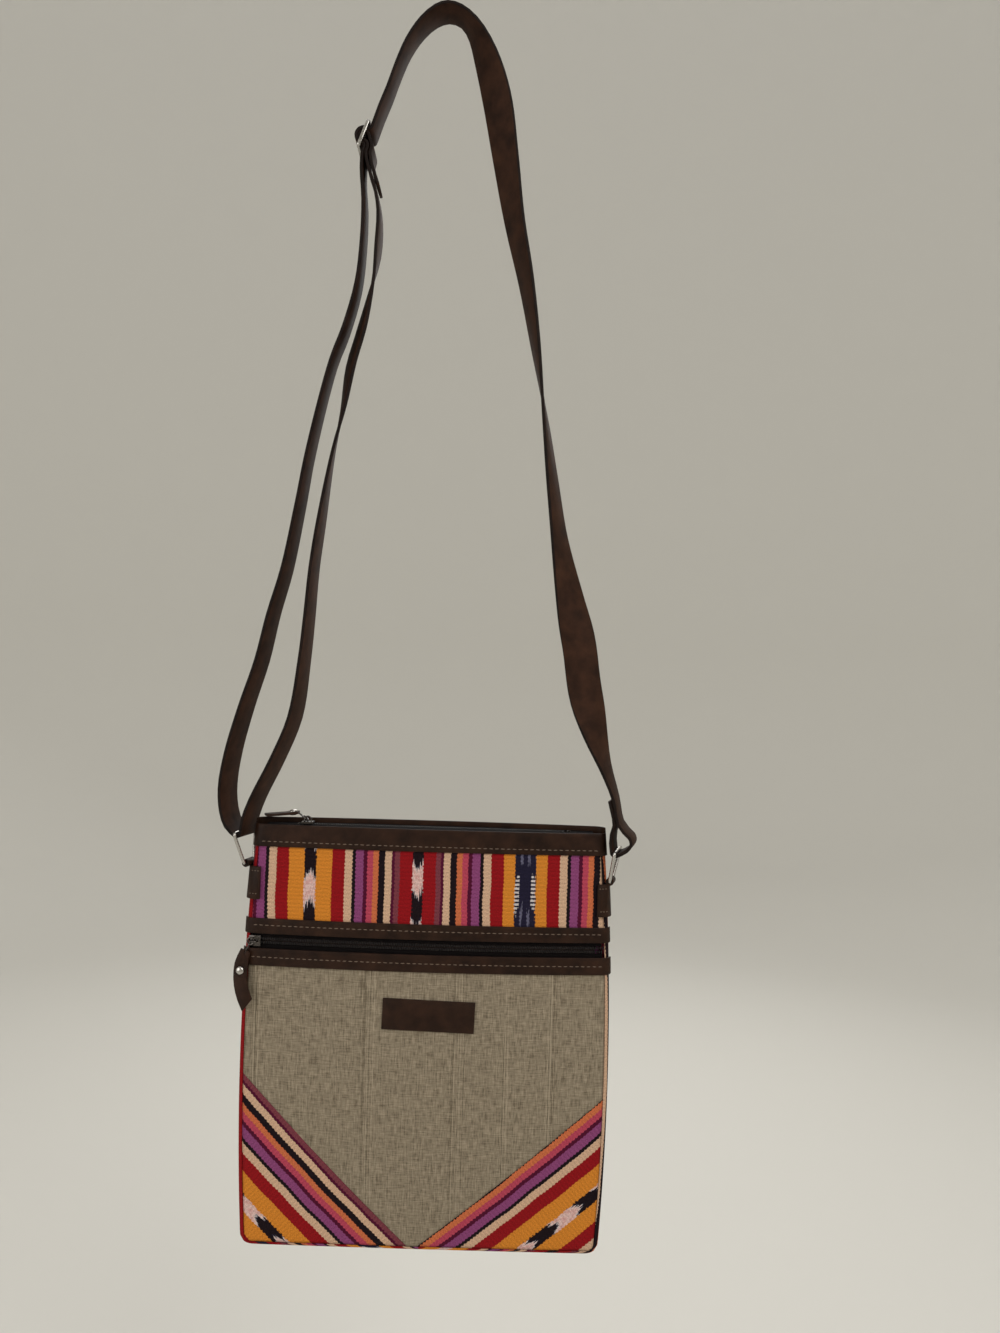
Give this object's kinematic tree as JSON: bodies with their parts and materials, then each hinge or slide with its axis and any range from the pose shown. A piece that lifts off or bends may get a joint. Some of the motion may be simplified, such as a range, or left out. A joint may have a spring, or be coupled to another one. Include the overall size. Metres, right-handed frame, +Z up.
{
  "type": "crossbody bag",
  "caption": "Flat zipped crossbody bag of striped cloth, plain linen and dark leather, hanging from a long leather strap with a metal slide.",
  "frame": {"origin": "where the strap hangs: middle of the underside of the strap at its highest point", "axes": "+Z up along the hanging strap, +X to the bag's right as seen from its front, the front faces -Y"},
  "size_m": [0.247, 0.027, 0.7286],
  "materials": {
    "striped_cloth": "matte woven stripes",
    "linen": "matte slub weave",
    "leather": "dull",
    "strap_leather": "dull",
    "lining_cloth": "matte",
    "zip_cloth": "matte",
    "zip_teeth": "dull",
    "metal": "polished nickel"
  },
  "bodies": {
    "strap": {"strap": "strap_leather", "strap_adjuster": "metal"},
    "ring_left": {"ring_left": "metal"},
    "bag": {"back_panel": "striped_cloth", "front_stripe_panel": "striped_cloth", "linen_panel": "linen", "corner_patch_left": "striped_cloth", "corner_patch_right": "striped_cloth", "top_band_front": "leather", "top_band_back": "leather", "pocket_strip_upper": "leather", "pocket_strip_lower": "leather", "label_patch": "leather", "pocket_lining": "lining_cloth", "main_lining": "lining_cloth", "pocket_tape_lower": "zip_cloth", "pocket_tape_upper": "zip_cloth", "pocket_teeth_lower": "zip_teeth", "pocket_teeth_upper": "zip_teeth", "top_tape_front": "zip_cloth", "top_tape_back": "zip_cloth", "top_teeth_front": "zip_teeth", "top_teeth_back": "zip_teeth", "top_stop_left": "metal", "top_stop_right": "metal", "tab_left": "leather", "tab_right": "leather"},
    "ring_right": {"ring_right": "metal"},
    "top_slider": {"top_slider": "metal"},
    "top_pull": {"top_pull": "leather", "top_pull_rivet": "metal", "top_pull_link": "metal"},
    "pocket_slider": {"pocket_slider": "metal"},
    "pocket_pull": {"pocket_pull": "leather", "pocket_pull_rivet": "metal", "pocket_pull_link": "metal"}
  },
  "joints": [
    {"name": "ring_left_swing", "type": "hinge", "parent": "strap", "child": "ring_left", "pos_m": [-0.10619, 0.00092, -0.48424], "axis": [0.2588, 0.9659, 0], "range_deg": [-6, 1.5]},
    {"name": "bag_swing", "type": "hinge", "parent": "ring_left", "child": "bag", "pos_m": [-0.10274, 0, -0.5026], "axis": [0.2588, 0.9659, 0], "range_deg": [-1.5, 6]},
    {"name": "ring_right_swing", "type": "hinge", "parent": "bag", "child": "ring_right", "pos_m": [0.11049, 0, -0.5073], "axis": [0.2588, 0.9659, 0], "range_deg": [-6, 1.5]},
    {"name": "top_zip", "type": "slide", "parent": "bag", "child": "top_slider", "axis": [1, 0, 0], "range_m": [0, 0.149]},
    {"name": "top_pull_turn", "type": "hinge", "parent": "top_slider", "child": "top_pull", "pos_m": [-0.0688, 0, -0.47685], "axis": [0, 1, 0], "range_deg": [0, 135]},
    {"name": "pocket_zip", "type": "hinge", "parent": "bag", "child": "pocket_slider", "pos_m": [0.0037, 1.11401, -0.5475], "axis": [0, 0, 1], "range_deg": [0, 10.2]},
    {"name": "pocket_pull_turn", "type": "hinge", "parent": "pocket_slider", "child": "pocket_pull", "pos_m": [-0.09903, -0.00588, -0.5475], "axis": [0.0896, 0.996, 0], "range_deg": [-45, 45]}
  ],
  "couplings": [
    {"joint": "ring_left_swing", "follows": "bag_swing", "ratio": -0.96666},
    {"joint": "ring_right_swing", "follows": "bag_swing", "ratio": -0.99146}
  ]
}
